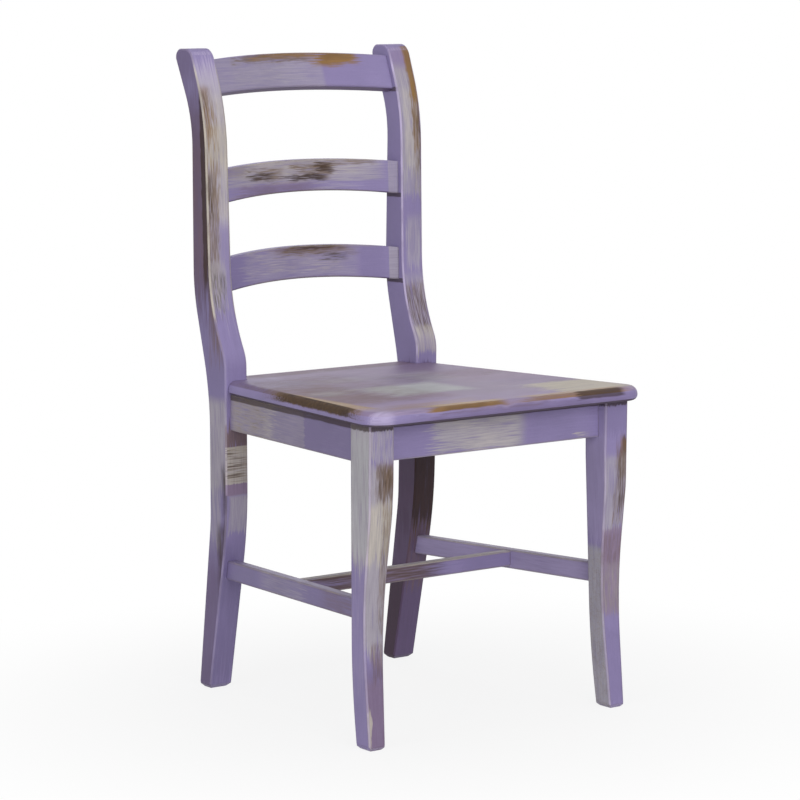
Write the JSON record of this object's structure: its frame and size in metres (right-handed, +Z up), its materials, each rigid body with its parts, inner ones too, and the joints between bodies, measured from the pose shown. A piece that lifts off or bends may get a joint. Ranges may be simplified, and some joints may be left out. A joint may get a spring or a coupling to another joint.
{
  "type": "dining chair",
  "caption": "Wooden dining chair with a flat seat, a bowed ladder back between flared posts, shaped legs and an H stretcher, in worn painted finish.",
  "frame": {"origin": "on the floor, in the middle of the chair's outline seen from above", "axes": "+X across the chair to the right of someone who looks at its front, +Y from the front edge to the back, +Z up"},
  "size_m": [0.4646, 0.5571, 0.94],
  "materials": {
    "painted_wood": "lavender paint, brushed over with grey-white and rubbed through to brown wood at the edges",
    "bare_wood": "unfinished, planed",
    "screw_steel": "plain"
  },
  "bodies": {
    "root": {"rear_post_left": "painted_wood", "rear_post_right": "painted_wood", "front_leg_left": "painted_wood", "front_leg_right": "painted_wood", "top_rail": "painted_wood", "upper_slat": "painted_wood", "lower_slat": "painted_wood", "seat": "painted_wood", "front_apron": "painted_wood", "rear_apron": "painted_wood", "side_apron_left": "painted_wood", "side_apron_right": "painted_wood", "side_stretcher_left": "painted_wood", "side_stretcher_right": "painted_wood", "cross_stretcher": "painted_wood", "corner_block_front_left": "bare_wood", "corner_block_front_right": "bare_wood", "corner_block_rear_left": "bare_wood", "corner_block_rear_right": "bare_wood", "corner_block_screws": "screw_steel", "seat_screws": "screw_steel"}
  },
  "joints": []
}
